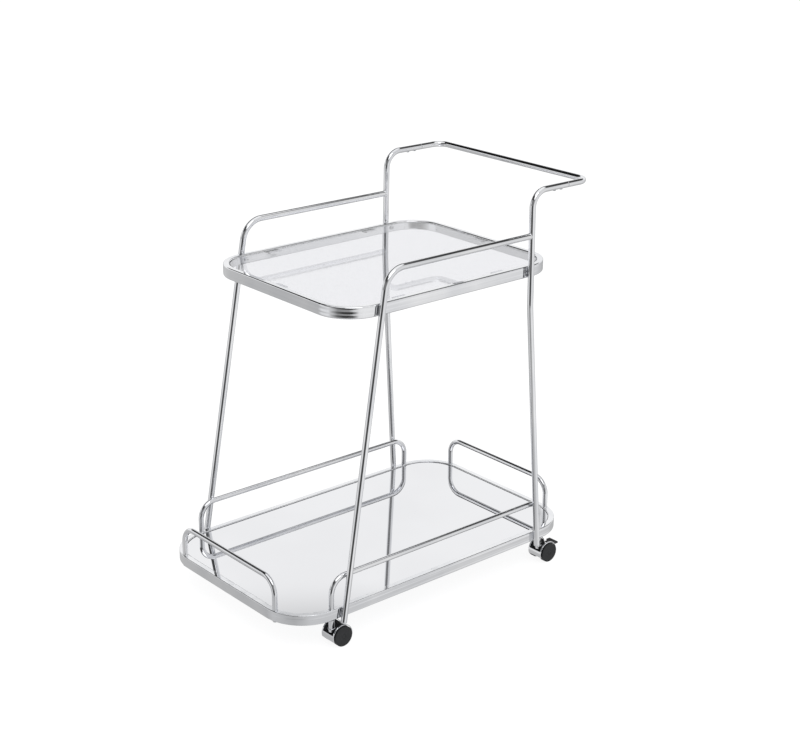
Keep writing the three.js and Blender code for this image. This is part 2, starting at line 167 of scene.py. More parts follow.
def addDisc(radius, depth, centre, axis=up, count=48):
    deselect()
    bpy.ops.mesh.primitive_cylinder_add(vertices=count, radius=radius, depth=depth, location=centre,
                                        rotation=turnTo(axis))
    return fix(bpy.context.object)


def addBlock(size, centre):
    deselect()
    bpy.ops.mesh.primitive_cube_add(size=1, location=centre)
    bpy.context.object.scale = size
    return fix(bpy.context.object)


def shapeCap(piece, direction, steps):
    # shapes the end face that looks in a direction by (inset, move) pairs in mm, from its edge inwards
    openForEdit(piece)
    reach = max(vertex.co.dot(direction) for vertex in piece.data.vertices)
    pick("FACE", lambda face: face.normal.dot(direction) > facingIt
         and abs(face.calc_center_median().dot(direction) - reach) < onePoint)
    for inset, move in steps:
        if inset and move:
            bpy.ops.mesh.inset(thickness=inset * mm, depth=move * mm)
        elif inset:
            bpy.ops.mesh.inset(thickness=inset * mm)
        else:
            bpy.ops.mesh.extrude_region_move(TRANSFORM_OT_translate={"value": direction * (move * mm)})
    closeEdit()


def roundedPlate(name, length, width, radius, topZ, centreX, segments):
    # a flat sheet with round corners at the height topZ, still without thickness
    deselect()
    bpy.ops.mesh.primitive_plane_add(size=1, location=(centreX, 0, topZ))
    plate = bpy.context.object
    plate.name = name
    plate.scale = (length, width, 1)
    fix(plate)
    openForEdit(plate)
    bpy.ops.mesh.select_all(action="SELECT")
    bpy.ops.mesh.bevel(offset=radius, offset_type="OFFSET", segments=segments, profile=0.5,
                       affect="VERTICES")
    closeEdit()
    return plate


def thicken(plate, thickness):
    # gives a sheet its thickness, on the side away from its normals
    solid = plate.modifiers.new("thickness", "SOLIDIFY")
    solid.thickness, solid.offset, solid.use_even_offset = thickness, -1, True
    applyAll(plate)


def bentTube(name, corners, radii, spec):
    # a ring swept along straights and bends, closed at both ends
    heading = (corners[1] - corners[0]).normalized()
    deselect()
    bpy.ops.mesh.primitive_circle_add(vertices=spec["sides"], radius=spec["diameter"] / 2 * mm,
                                      location=corners[0], rotation=turnTo(heading))
    piece = bpy.context.object
    piece.name = name
    fix(piece)
    openForEdit(piece)
    bpy.ops.mesh.select_mode(type="EDGE")
    bpy.ops.mesh.select_all(action="SELECT")
    at = corners[0]
    for corner, onward, radius in zip(corners[1:], corners[2:], radii):
        before, after = (corner - at).normalized(), (onward - corner).normalized()
        turn = before.angle(after)
        bendStart = corner - before * radius * math.tan(turn / 2)
        inward = (after - before * before.dot(after)).normalized()
        bpy.ops.mesh.extrude_region_move(TRANSFORM_OT_translate={"value": bendStart - at})
        centre = bendStart + inward * radius
        bpy.ops.mesh.spin(steps=max(2, round(math.degrees(turn) / spec["bendStep"])), angle=-turn,
                          center=centre, axis=before.cross(after).normalized())
        at = centre - inward * radius * math.cos(turn) + before * radius * math.sin(turn)
    bpy.ops.mesh.extrude_region_move(TRANSFORM_OT_translate={"value": corners[-1] - at})
    bpy.ops.mesh.select_all(action="SELECT")
    bpy.ops.mesh.remove_doubles(threshold=onePoint)
    bpy.ops.mesh.fill_holes(sides=0)
    bpy.ops.mesh.select_all(action="SELECT")
    bpy.ops.mesh.normals_make_consistent(inside=False)
    closeEdit()
    soften(piece, spec["endRound"] * mm, 2, 60)
    return piece


# ---- materials

class Flow:
    # a shader socket whose arithmetic adds Math nodes

    def __init__(self, tree, socket=None):
        self.tree, self.socket = tree, socket

    def node(self, kind, settings=None, sockets=None, out=0):
        made = self.tree.nodes.new(kind)
        for key, value in (settings or {}).items():
            if key == "stops":
                fillRamp(made.color_ramp, value)
            else:
                setattr(made, key, value)
        for key, value in (sockets or {}).items():
            if isinstance(value, Flow):
                self.tree.links.new(value.socket, made.inputs[key])
            else:
                made.inputs[key].default_value = value
        return Flow(self.tree, made.outputs[out])

    def maths(self, operation, first, second):
        return self.node("ShaderNodeMath", {"operation": operation}, {0: first, 1: second})

    def __add__(self, other):
        return self.maths("ADD", self, other)

    def __sub__(self, other):
        return self.maths("SUBTRACT", self, other)

    def __rsub__(self, other):
        return self.maths("SUBTRACT", other, self)

    def __mul__(self, other):
        return self.maths("MULTIPLY", self, other)

    __radd__ = __add__
    __rmul__ = __mul__

    def ramp(self, low, high, lowValue=0.0, highValue=1.0):
        return self.node("ShaderNodeMapRange", {"interpolation_type": "SMOOTHSTEP"},
                         {"Value": self, "From Min": low, "From Max": high,
                          "To Min": lowValue, "To Max": highValue})

    def blend(self, first, second):
        # a colour between two, by this mask
        return self.node("ShaderNodeMix", {"data_type": "RGBA"}, {0: self, 6: first, 7: second}, out=2)

    def noise(self, place, scale, detail=2.0, roughness=0.5):
        return self.node("ShaderNodeTexNoise", {}, {"Vector": place, "Scale": scale, "Detail": detail,
                                                    "Roughness": roughness})

    def stretched(self, place, scale, turn=(0, 0, 0)):
        return self.node("ShaderNodeMapping", {}, {"Vector": place, "Scale": scale, "Rotation": turn})

    def bump(self, height, distance, strength=1.0, normal=None):
        sockets = {"Height": height, "Distance": distance, "Strength": strength}
        if normal:
            sockets["Normal"] = normal
        return self.node("ShaderNodeBump", {}, sockets)


def fillRamp(ramp, stops):
    while len(ramp.elements) < len(stops):
        ramp.elements.new(1.0)
    for element, (place, colour) in zip(ramp.elements, stops):
        element.position, element.color = place, colour


def newMaterial(name, fixed):
    # an empty material with its shader's constants set; returns the material, a flow and the shader
    material = bpy.data.materials.new(name)
    material.use_nodes = True
    tree = material.node_tree
    shader = tree.nodes["Principled BSDF"]
    for key, value in fixed.items():
        shader.inputs[key].default_value = value
    return material, Flow(tree), shader


def drive(flow, shader, **links):
    for key, value in links.items():
        flow.tree.links.new(value.socket, shader.inputs[key])


def objectPlace(flow):
    return flow.node("ShaderNodeTexCoord", out=3)


chromeLook = {
    "light": (0.90, 0.905, 0.92, 1), "shade": (0.80, 0.81, 0.835, 1), "cloud": 9.0, "cloudEdge": (0.35, 0.68),
    "polished": 0.035, "smudged": 0.13, "smudge": 46.0, "smudgeEdge": (0.52, 0.74),
    "scratch": (900, 900, 14), "scratchAngles": [0.35, 1.25, 2.2], "scratchLean": 0.6,
    "scratchEdge": (0.69, 0.73), "scratchRough": 0.08, "scratchDepth": 0.6,
    "wave": 38.0, "drawn": (1.5, 1.5, 120), "grain": 2600.0, "grainDepth": 0.000004,
}


def polishedChrome(name, waviness, drawn=0.0):
    # waviness: depth of the broad waves of bending; drawn: depth of the lengthwise ones of a rolled bar
    look = chromeLook
    material, flow, shader = newMaterial(name, {"Metallic": 1.0, "IOR": 1.5})
    place = objectPlace(flow)
    cloud = flow.noise(place, look["cloud"], 3.0)
    smudge = flow.noise(place, look["smudge"], 4.0, 0.6).ramp(*look["smudgeEdge"])
    scratches = None
    for angle in look["scratchAngles"]:
        laid = flow.stretched(place, look["scratch"], (angle, angle * look["scratchLean"], 0))
        lines = flow.noise(laid, 1.0, 1.0).ramp(*look["scratchEdge"])
        scratches = lines if scratches is None else scratches + lines
    rough = look["polished"] + (look["smudged"] - look["polished"]) * smudge + scratches * look["scratchRough"]
    tone = cloud.ramp(*look["cloudEdge"]).blend(look["shade"], look["light"])
    rippled = flow.bump(flow.noise(place, look["wave"], 1.0), waviness)
    if drawn:
        rolled = flow.noise(flow.stretched(place, look["drawn"]), 1.0, 1.0)
        rippled = flow.bump(rolled, drawn, 1.0, rippled)
    grain = flow.noise(place, look["grain"], 1.0) - scratches * look["scratchDepth"]
    normal = flow.bump(grain, look["grainDepth"], 0.5, rippled)
    drive(flow, shader, **{"Base Color": tone, "Roughness": rough, "Normal": normal})
    return material


steelLook = {
    "bright": (0.72, 0.73, 0.75, 1), "dull": (0.52, 0.53, 0.555, 1), "rough": (0.2, 0.36),
    "grain": 320.0, "grainDepth": 0.00002, "patch": 70.0, "patchEdge": (0.42, 0.66), "patchRough": 0.08,
}


def platedSteel(name):
    look = steelLook
    material, flow, shader = newMaterial(name, {"Metallic": 1.0})
    place = objectPlace(flow)
    grain = flow.noise(flow.stretched(place, (1, 1, 9)), look["grain"], 3.0)
    patch = flow.noise(place, look["patch"], 3.0).ramp(*look["patchEdge"])
    drive(flow, shader, **{
        "Base Color": patch.blend(look["bright"], look["dull"]),
        "Roughness": grain.ramp(0.3, 0.7, *look["rough"]) + patch * look["patchRough"],
        "Normal": flow.bump(grain, look["grainDepth"], 0.5)})
    return material


plasticLooks = {
    "wheel": {"body": (0.012, 0.013, 0.0145, 1), "dusty": (0.032, 0.033, 0.034, 1),
              "rough": (0.5, 0.66), "grain": 2400.0},
    "core": {"body": (0.012, 0.0125, 0.014, 1), "dusty": (0.04, 0.04, 0.042, 1),
             "rough": (0.34, 0.5), "grain": 1800.0},
    "plug": {"body": (0.5, 0.51, 0.52, 1), "dusty": (0.4, 0.4, 0.4, 1),
             "rough": (0.45, 0.6), "grain": 1500.0},
}
plasticWear = {
    "dust": 85.0, "dustEdge": (0.5, 0.8), "dustShare": 0.55, "grainDepth": 0.00003,
    "scuff": (260, 1500, 260), "scuffEdge": (0.66, 0.74), "scuffShare": 0.35, "scuffRough": 0.1,
    "scuffDepth": 0.4,
}


def mouldedPlastic(name, look):
    wear = plasticWear
    material, flow, shader = newMaterial(name, {"Metallic": 0.0, "IOR": 1.53, "Specular IOR Level": 0.3})
    place = objectPlace(flow)
    dust = flow.noise(place, wear["dust"], 5.0, 0.65).ramp(*wear["dustEdge"])
    grain = flow.noise(place, look["grain"], 2.0)
    scuffs = flow.noise(flow.stretched(place, wear["scuff"]), 1.0, 2.0).ramp(*wear["scuffEdge"])
    worn = dust * wear["dustShare"] + scuffs * wear["scuffShare"]
    drive(flow, shader, **{
        "Base Color": worn.blend(look["body"], look["dusty"]),
        "Roughness": dust.ramp(0, 1, *look["rough"]) + scuffs * wear["scuffRough"],
        "Normal": flow.bump(grain - scuffs * wear["scuffDepth"], wear["grainDepth"], 0.6)})
    return material


glassLook = {
    "clear": (0.785, 0.789, 0.815, 1), "polished": 0.004, "edge": (0.48, 0.6, 0.585, 1), "ground": 0.05,
    "ior": 1.5, "prints": 34.0, "printsEdge": (0.6, 0.82), "printsRough": 0.05,
    "sag": 6.0, "sagDepth": 0.00003,
}


def clearGlass(name, tint, polish):
    # transmissive glass that lets lamps through to what stands under it
    look = glassLook
    material, flow, shader = newMaterial(name, {"Base Color": tint, "Transmission Weight": 1.0,
                                                "IOR": look["ior"]})
    place = objectPlace(flow)
    prints = flow.noise(place, look["prints"], 5.0, 0.62).ramp(*look["printsEdge"])
    sagging = flow.bump(flow.noise(place, look["sag"], 1.0), look["sagDepth"], 0.5)
    drive(flow, shader, Roughness=prints * look["printsRough"] + polish, Normal=sagging)
    lampRay = flow.node("ShaderNodeLightPath", out=1)
    seeThrough = flow.node("ShaderNodeBsdfTransparent", {}, {"Color": tint})
    glass = Flow(flow.tree, shader.outputs[0])
    mixed = flow.node("ShaderNodeMixShader", {}, {0: lampRay, 1: glass, 2: seeThrough})
    flow.tree.links.new(mixed.socket, flow.tree.nodes["Material Output"].inputs["Surface"])
    return material


mirrorLook = {
    "shade": (0.845, 0.85, 0.87, 1), "light": (0.875, 0.88, 0.9, 1), "cloud": 5.0, "rough": 0.012,
    "prints": 30.0, "printsEdge": (0.58, 0.8), "printsRough": 0.07, "coat": 0.35, "printsCoat": 0.2,
    "sag": 7.0, "sagDepth": 0.00002,
}
backingLook = {"dark": (0.17, 0.18, 0.19, 1), "light": (0.23, 0.24, 0.25, 1), "brushed": (40, 400, 40),
               "rough": (0.45, 0.62), "depth": 0.00005}


def silverMirror(name):
    look = mirrorLook
    material, flow, shader = newMaterial(name, {"Metallic": 1.0, "Coat Roughness": 0.02})
    place = objectPlace(flow)
    cloud = flow.noise(place, look["cloud"], 2.0)
    prints = flow.noise(place, look["prints"], 5.0, 0.62).ramp(*look["printsEdge"])
    drive(flow, shader, **{
        "Base Color": cloud.ramp(0.3, 0.7).blend(look["shade"], look["light"]),
        "Roughness": prints * look["printsRough"] + look["rough"],
        "Coat Weight": look["coat"] + prints * look["printsCoat"],
        "Normal": flow.bump(flow.noise(place, look["sag"], 1.0), look["sagDepth"], 0.4)})
    return material


def mirrorBacking(name):
    # the brushed paint on the back of the mirror
    look = backingLook
    material, flow, shader = newMaterial(name, {})
    place = objectPlace(flow)
    strokes = flow.noise(flow.stretched(place, look["brushed"]), 1.0, 3.0)
    drive(flow, shader, **{
        "Base Color": strokes.ramp(0.3, 0.7).blend(look["dark"], look["light"]),
        "Roughness": strokes.ramp(0.3, 0.7, *look["rough"]),
        "Normal": flow.bump(strokes, look["depth"], 0.6)})
    return material


tubeChrome = polishedChrome("tubeChrome", 0.000035)
bandChrome = polishedChrome("bandChrome", 0.00006, 0.0005)
fastenerSteel = platedSteel("fastenerSteel")
wheelBlack = mouldedPlastic("wheelBlack", plasticLooks["wheel"])
coreBlack = mouldedPlastic("coreBlack", plasticLooks["core"])
plugGrey = mouldedPlastic("plugGrey", plasticLooks["plug"])
shelfGlass = clearGlass("shelfGlass", glassLook["clear"], glassLook["polished"])
glassEdge = clearGlass("glassEdge", glassLook["edge"], glassLook["ground"])
mirrorSilver = silverMirror("mirrorSilver")
mirrorBack = mirrorBacking("mirrorBack")
print("materials made")


# ---- trays

lowerBox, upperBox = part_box("lower_band"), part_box("upper_band")
bands = {
    "lower": {"box": lowerBox, "panel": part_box("mirror_shelf"), "cornerRadius": 93, "rim": 13,
              "edge": 1.6, "edgeSteps": 5},
    "upper": {"box": upperBox, "panel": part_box("glass_shelf"), "cornerRadius": 78, "rim": 13,
              "edge": 2.8, "edgeSteps": 6},
}
tabs = {"reach": 14, "width": 30, "thickness": 3, "root": 1, "edge": 0.6, "weld": 1.6, "weldLength": 24,
        "alongSide": [0.17, 0.83]}      # shares of the way from front to rear leg bolt
weldShape = {"sides": 12, "ripple": 0.12, "seed": 3, "edge": 0.4}
cornerSteps = 28


def weldBead(centre, along, length, radius):
    # a rippled round bead of weld metal laid along a joint
    bead = addDisc(radius * mm, length * mm, centre, along, weldShape["sides"])
    openForEdit(bead)
    bpy.ops.mesh.select_all(action="SELECT")
    bpy.ops.mesh.subdivide(number_cuts=1)
    bpy.ops.transform.vertex_random(offset=weldShape["ripple"] * mm, seed=weldShape["seed"])
    closeEdit()
    soften(bead, weldShape["edge"] * mm, 2, 30)
    return bead


def trayBand(level, spec):
    # a band bent round the corners, with welded tabs inside that carry the panel
    low, high = spec["box"]
    length, width, centreX = high.x - low.x, high.y - low.y, (low.x + high.x) / 2
    rim = spec["rim"] * mm
    ring = roundedPlate(f"{level}Band", length, width, spec["cornerRadius"] * mm, high.z, centreX, cornerSteps)
    openForEdit(ring)
    bpy.ops.mesh.select_mode(type="FACE")
    bpy.ops.mesh.select_all(action="SELECT")
    bpy.ops.mesh.inset(thickness=rim, use_even_offset=True)
    bpy.ops.mesh.delete(type="FACE")
    closeEdit()
    thicken(ring, high.z - low.z)
    soften(ring, spec["edge"] * mm, spec["edgeSteps"], 50)
    tabZ = spec["panel"][0].z - cleared - tabs["thickness"] / 2 * mm
    pieces = [ring]
    frontBolt, rearBolt = (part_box(f"{level}_{leg}_bolt_near") for leg in ends)
    frontX, rearX = (frontBolt[0].x + frontBolt[1].x) / 2, (rearBolt[0].x + rearBolt[1].x) / 2
    tabX = [frontX + (rearX - frontX) * share for share in tabs["alongSide"]]
    reach, root, tabWidth = tabs["reach"] * mm, tabs["root"] * mm, tabs["width"] * mm
    for side in (-1, 1):
        sideTabY = side * (width / 2 - rim + root - reach / 2)
        endTabX = centreX + side * (length / 2 - rim + root - reach / 2)
        places = [((x, sideTabY, tabZ), (tabWidth, reach)) for x in tabX]
        places.append(((endTabX, 0, tabZ), (reach, tabWidth)))
        for centre, (sizeX, sizeY) in places:
            plate = addBlock((sizeX, sizeY, tabs["thickness"] * mm), centre)
            soften(plate, tabs["edge"] * mm, 2)
            pieces.append(plate)
            inwardX, inwardY = (0, -side) if sizeX > sizeY else (-side, 0)
            edge = Vector(centre) - Vector((inwardX * (sizeX / 2 - root), inwardY * (sizeY / 2 - root), 0))
            along = lengthways if sizeX > sizeY else across
            underEdge = edge - up * tabs["thickness"] / 2 * mm
            pieces.append(weldBead(underEdge, along, tabs["weldLength"], tabs["weld"]))
    finishPiece(gather(f"{level}Band", pieces), bandChrome, "chrome", "frame", f"{level}_band")


for level, spec in bands.items():
    trayBand(level, spec)
print("bands made")

panelLooks = {
    "mirror_shelf": {"name": "mirrorPanel", "band": "lower", "slot": "mirror_glass",
                     "face": mirrorSilver, "rim": mirrorBack, "under": mirrorBack},
    "glass_shelf": {"name": "glassPanel", "band": "upper", "slot": "clear_glass",
                    "face": shelfGlass, "rim": glassEdge, "under": shelfGlass},
}
panelShape = {"inset": 13.8, "edge": 0.8, "level": 0.9}
# inset: from the band's outside to the panel's edge; level: cosine above which a face is top or bottom

for node, look in panelLooks.items():
    band = bands[look["band"]]
    low, high = band["panel"]
    radius = (band["cornerRadius"] - panelShape["inset"]) * mm
    panel = roundedPlate(look["name"], high.x - low.x, high.y - low.y, radius, high.z, (low.x + high.x) / 2,
                         cornerSteps)
    thicken(panel, high.z - low.z)
    soften(panel, panelShape["edge"] * mm, 3, 50)
    for material in (look["face"], look["rim"], look["under"]):
        panel.data.materials.append(material)
    for face in panel.data.polygons:
        isTop, isUnder = face.normal.z > panelShape["level"], face.normal.z < -panelShape["level"]
        face.material_index = 0 if isTop else 2 if isUnder else 1
    finishPiece(panel, None, look["slot"], "frame", node)
print("panels made")


# ---- side frames and handle

tube = {"diameter": 12.7, "sides": 48, "bendStep": 4, "endRound": 0.5}
railTube = {"diameter": 11, "sides": 40, "bendStep": 4, "endRound": 0.3}
frontLeg = {"footX": 114.5, "railX": 229.5, "bend": 46}
rearLeg = {"footX": 646, "uprightX": 607, "kinkHeight": 590, "kinkRadius": 160}
handle = {"bend": 35, "corner": 25, "jointAt": 96, "jointGap": 0.5}
spigotShape = {"radius": 4.8, "length": 8, "sides": 32, "edge": 0.3}
buttWeld = {"sunk": 1.6, "back": 2.2, "inset": 0.5, "thickness": 0.9, "seed": 5}
ringShape = {"around": 64, "section": 10, "ripple": 0.12}

tubeRadius = tube["diameter"] / 2 * mm
frontX = lowerBox[0].x
footZ = 48.5 * mm
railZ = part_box("front_leg_near")[1].z - tubeRadius
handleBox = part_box("push_handle")
handleZ = (handleBox[0].z + handleBox[1].z) / 2
handleBarX = handleBox[1].x - tubeRadius


def sideY(z):
    # the frames touch the top edges of both bands, so they lean out towards the floor
    low = lowerBox[1].y + tubeRadius + cleared
    high = upperBox[1].y + tubeRadius + cleared
    return low + (high - low) * (z - lowerBox[1].z) / (upperBox[1].z - lowerBox[1].z)


def framePoint(x, z, side):
    return Vector((x, side * sideY(z), z))


def frontLegX(z):
    lean = (frontLeg["railX"] - frontLeg["footX"]) * mm / (railZ - footZ)
    return frontX + frontLeg["footX"] * mm + lean * (z - footZ)


def rearLegX(z):
    kinkZ = rearLeg["kinkHeight"] * mm
    if z >= kinkZ:
        return frontX + rearLeg["uprightX"] * mm
    lean = (rearLeg["uprightX"] - rearLeg["footX"]) * mm / (kinkZ - footZ)
    return frontX + rearLeg["footX"] * mm + lean * (z - footZ)


uprightX = rearLegX(handleZ)


def ringBead(centre, axis, radius, thickness, seed):
    # a low rippled bead of weld round a tube's end
    deselect()
    bpy.ops.mesh.primitive_torus_add(major_segments=ringShape["around"], minor_segments=ringShape["section"],
                                     major_radius=radius, minor_radius=thickness, location=centre,
                                     rotation=turnTo(axis))
    bead = fix(bpy.context.object)
    openForEdit(bead)
    bpy.ops.mesh.select_all(action="SELECT")
    bpy.ops.transform.vertex_random(offset=thickness * ringShape["ripple"], seed=seed)
    bpy.ops.mesh.vertices_smooth(factor=0.5, repeat=1)
    closeEdit()
    smooth(bead, 80)
    return bead


for name, side in sides.items():
    foot, top = framePoint(frontLegX(footZ), footZ, side), framePoint(frontLegX(railZ), railZ, side)
    butt = framePoint(uprightX - tubeRadius + buttWeld["sunk"] * mm, railZ, side)
    leg = bentTube(f"frontLeg_{name}", [foot, top, butt], [frontLeg["bend"] * mm], tube)
    bead = ringBead(butt - Vector((buttWeld["back"] * mm, 0, 0)), lengthways,
                    tubeRadius - buttWeld["inset"] * mm, buttWeld["thickness"] * mm, buttWeld["seed"])
    finishPiece(gather(f"frontLeg_{name}", [leg, bead]), tubeChrome, "chrome", "frame", f"front_leg_{name}")

    foot = framePoint(rearLegX(footZ), footZ, side)
    kink = framePoint(rearLegX(rearLeg["kinkHeight"] * mm), rearLeg["kinkHeight"] * mm, side)
    top = framePoint(uprightX, handleZ, side)
    stub = top + Vector(((handle["jointAt"] - handle["jointGap"] / 2) * mm, 0, 0))
    leg = bentTube(f"rearLeg_{name}", [foot, kink, top, stub],
                   [rearLeg["kinkRadius"] * mm, handle["bend"] * mm], tube)
    finishPiece(leg, tubeChrome, "chrome", "frame", f"rear_leg_{name}")

armY = sideY(handleZ)
armStart = uprightX + (handle["jointAt"] + handle["jointGap"] / 2) * mm
corners = [Vector((armStart, -armY, handleZ)), Vector((handleBarX, -armY, handleZ)),
           Vector((handleBarX, armY, handleZ)), Vector((armStart, armY, handleZ))]
bar = bentTube("pushHandle", corners, [handle["corner"] * mm] * 2, tube)
spigots = [addDisc(spigotShape["radius"] * mm, spigotShape["length"] * mm,
                   Vector((armStart, side * armY, handleZ)), lengthways, spigotShape["sides"])
           for side in sides.values()]
for spigot in spigots:
    soften(spigot, spigotShape["edge"] * mm, 2)
finishPiece(gather("pushHandle", [bar, *spigots]), tubeChrome, "chrome", "frame", "push_handle")
print("side frames and handle made")


# ---- gallery rails

gallery = {"bend": 34, "beadHeight": 0.7, "beadLift": 0.3, "beadSeed": 9}

for name in ("near", "far", "front", "rear"):
    low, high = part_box(f"gallery_rail_{name}")
    radius = railTube["diameter"] / 2 * mm
    top = high.z - radius
    if name in sides:
        y = (low.y + high.y) / 2
        posts = [Vector((low.x + radius, y, low.z)), Vector((high.x - radius, y, low.z))]
    else:
        x = (low.x + high.x) / 2
        posts = [Vector((x, low.y + radius, low.z)), Vector((x, high.y - radius, low.z))]
    for post in posts:
        post.z = lowerBox[1].z
    corners = [posts[0], posts[0] + up * (top - posts[0].z), posts[1] + up * (top - posts[1].z), posts[1]]
    rail = bentTube(f"galleryRail_{name}", corners, [gallery["bend"] * mm] * 2, railTube)
    lift, thickness = up * gallery["beadHeight"] * gallery["beadLift"] * mm, gallery["beadHeight"] * mm
    beads = [ringBead(post + lift, up, radius, thickness, gallery["beadSeed"]) for post in posts]
    finishPiece(gather(f"galleryRail_{name}", [rail, *beads]), tubeChrome, "chrome", "frame",
                f"gallery_rail_{name}")
print("gallery rails made")


# ---- fasteners and plugs

boltHead = {"diameter": 9.5, "height": 3.0, "dome": 1.3, "socket": 4.0, "socketDepth": 1.7, "edge": 0.12}
screwHead = {"diameter": 6.6, "height": 1.8, "dome": 0.9, "slot": 0.9, "slotLength": 3.6, "slotDepth": 1.0,
             "edge": 0.1, "sunk": 0.5}
railScrewHead = {"diameter": 10, "height": 3.2, "dome": 1.4, "slot": 1.3, "slotLength": 5.4, "slotDepth": 1.6,
                 "edge": 0.1}
domeShape = {"margin": 0.1, "steps": 6, "profile": 0.6}


def domedHead(spec):
    # a button head looking up, its seat at the origin
    head = addDisc(spec["diameter"] / 2 * mm, spec["height"] * mm, Vector((0, 0, spec["height"] / 2 * mm)))
    openForEdit(head)
    rimZ = (spec["height"] - domeShape["margin"]) * mm
    pick("EDGE", lambda edge: all(vertex.co.z > rimZ for vertex in edge.verts))
    bpy.ops.mesh.bevel(offset=spec["dome"] * mm, segments=domeShape["steps"], profile=domeShape["profile"],
                       affect="EDGES")
    closeEdit()
    return head


def socketBolt(spec):
    # a head with a hexagon socket
    head = domedHead(spec)
    depth = spec["socketDepth"] * mm
    socket = addDisc(spec["socket"] / 2 * mm, 2 * depth, Vector((0, 0, spec["height"] * mm)), up, 6)
    combine(head, socket, "DIFFERENCE")
    soften(head, spec["edge"] * mm, 2, 40)
    return head


def crossScrew(spec):
    # a head with a cross cut into it
    head = domedHead(spec)
    top = Vector((0, 0, spec["height"] * mm))
    depth = 2 * spec["slotDepth"] * mm
    for size in ((spec["slotLength"], spec["slot"]), (spec["slot"], spec["slotLength"])):
        combine(head, addBlock((size[0] * mm, size[1] * mm, depth), top), "DIFFERENCE")
    soften(head, spec["edge"] * mm, 2, 40)
    return head


def facing(direction, place):
    # puts a head made at the origin at a place, looking in a direction
    return Matrix.Translation(place) @ direction.to_track_quat("Z", "Y").to_matrix().to_4x4()


bolt = socketBolt(boltHead)
for level in bands:
    for leg in ends:
        for name, side in sides.items():
            low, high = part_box(f"{level}_{leg}_bolt_{name}")
            inside = Vector((0, -side, 0))
            seatY = (low.y + boltHead["height"] * mm) if side > 0 else (high.y - boltHead["height"] * mm)
            seat = Vector(((low.x + high.x) / 2, seatY, (low.z + high.z) / 2))
            piece = twin(bolt, f"{level}Bolt_{leg}_{name}", facing(inside, seat))
            finishPiece(piece, fastenerSteel, "steel", "frame", f"{level}_{leg}_bolt_{name}")
bpy.data.objects.remove(bolt)

handleScrew = crossScrew(screwHead)
railScrew = crossScrew(railScrewHead)
for name in sides:
    for index in (1, 2):
        low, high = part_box(f"handle_screw_{name}_{index}")
        seat = Vector(((low.x + high.x) / 2, (low.y + high.y) / 2, low.z + screwHead["height"] * mm))
        sunkSeat = seat + up * screwHead["sunk"] * mm
        piece = twin(handleScrew, f"handleScrew_{name}_{index}", facing(-up, sunkSeat))
        finishPiece(piece, fastenerSteel, "steel", "frame", f"handle_screw_{name}_{index}")
    for end in ends:
        low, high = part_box(f"{end}_{name}_rail_screw")
        seat = Vector(((low.x + high.x) / 2, (low.y + high.y) / 2, low.z + railScrewHead["height"] * mm))
        piece = twin(railScrew, f"railScrew_{end}_{name}", facing(-up, seat))
        finishPiece(piece, fastenerSteel, "steel", "frame", f"{end}_{name}_rail_screw")
bpy.data.objects.remove(handleScrew)
bpy.data.objects.remove(railScrew)

plug = {"flange": 1.5, "dimple": 3.2, "step": 0.4, "edge": 0.35}
slopeOver = 10 * mm      # length of leg that its slope is measured over
for leg, legX in (("front", frontLegX), ("rear", rearLegX)):
    for name, side in sides.items():
        foot = framePoint(legX(footZ), footZ, side)
        above = framePoint(legX(footZ + slopeOver), footZ + slopeOver, side)
        down = (foot - above).normalized()
        flange = addDisc(tubeRadius, plug["flange"] * mm, Vector((0, 0, plug["flange"] / 2 * mm)))
        shapeCap(flange, up, [(plug["dimple"], 0), (plug["step"], -plug["step"])])
        soften(flange, plug["edge"] * mm, 2, 30)
        piece = twin(flange, f"legPlug_{leg}_{name}", facing(down, foot))
        bpy.data.objects.remove(flange)
        finishPiece(piece, plugGrey, "grey_plastic", "frame", f"{leg}_leg_plug_{name}")
print("fasteners and plugs made")


# ---- casters

caster = {
    "trail": 14, "wheel": 42, "wheelWidth": 9.8, "track": 43,
    "hoodOuter": 24, "hoodWall": 1.4, "hoodWidth": 37, "hoodRing": 3, "hoodBelow": 18,
    "openStemSide": 15, "openFarSide": 21, "openBraked": 6, "hoodSides": 120, "hoodEdge": 0.35,
    "hub": 8, "webHalf": 8.4, "neck": 12, "neckTop": 54,
}
coreShape = {"webShort": 4, "webIn": 1.2, "webHeight": 12, "webZ": 7, "ribOver": 2, "ribWidth": 4,
             "ribHeight": 8, "ribZ": -3, "edge": 0.7}
# the capped ends' shapes are (inset, move) pairs, as shapeCap takes them
neckShape = {"bottom": 8, "mouth": [(0.9, 0), (0, -0.8), (1.0, 0), (0, 0.5)], "edge": 0.4,
             "collarOut": 1.4, "collarHeight": 1.6, "collarUp": 6.2}
wheelShape = {
    "sides": 96, "edge": 0.75,
    "outside": [(0.9, 0), (0.5, -0.35), (1.0, 0), (13.2, 0), (0.4, -0.3), (0.6, 0), (0.4, 0.3)],
    "inside": [(3.0, 0), (0.3, -1.2), (9.0, 0), (0.3, 1.2), (3.2, 0), (0.2, -1.5)],
}
pinShape = {"sides": 32, "stemTip": [(0.8, 0.8)], "stemEdge": 0.3, "axleRadius": 2.5, "axleShort": 3,
            "axleEnd": [(0.6, 0)], "axleEdge": 0.4}
pedal = {"width": 25, "reach": 34.5, "pivotOut": 17, "height": 11, "thickness": 3.4, "hoodGap": 0.6,
         "ribs": 6, "ribHeight": 0.5, "grooveIn": 0.5, "edge": 0.3,
         "armWidth": 14, "armUnder": 2, "armThinner": 0.6, "barrelOut": 0.5}


def around(point):
    # a point's angle about the axle, from the side away from the stem and over the top, in degrees
    angle = math.degrees(math.atan2(point.z, point.x))
    return angle if angle > -90 else angle + 360


